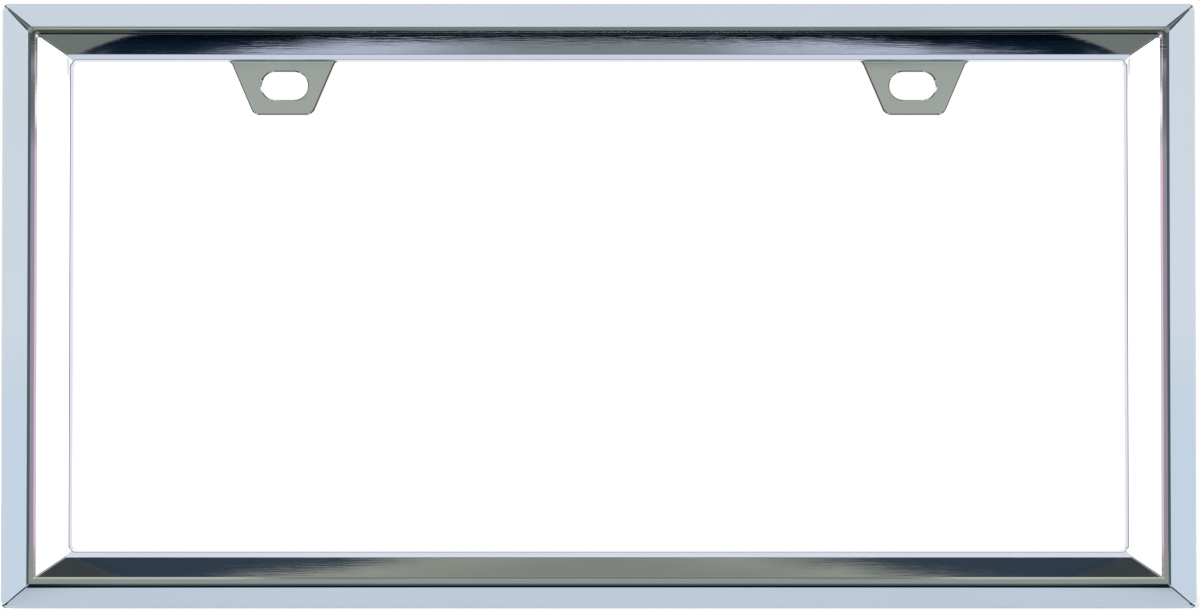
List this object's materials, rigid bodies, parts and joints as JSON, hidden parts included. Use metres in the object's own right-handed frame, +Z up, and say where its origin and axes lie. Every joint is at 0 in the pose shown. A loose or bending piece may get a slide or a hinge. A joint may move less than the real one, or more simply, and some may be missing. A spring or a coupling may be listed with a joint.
{
  "type": "number plate frame",
  "caption": "Chrome frame for a car number plate: a mitred, raised moulding around an open middle, with slotted screw tabs on the inside of its top rail.",
  "frame": {"origin": "centre of the whole frame: the middle of its width, height and depth", "axes": "+X to the right seen from the front, +Z up with the screw tabs at the top, -Y out of the front face"},
  "size_m": [0.333, 0.01, 0.1686],
  "materials": {
    "chrome_plate": "polished bright chrome plate"
  },
  "bodies": {
    "root": {"plate_frame": "chrome_plate"}
  },
  "joints": []
}
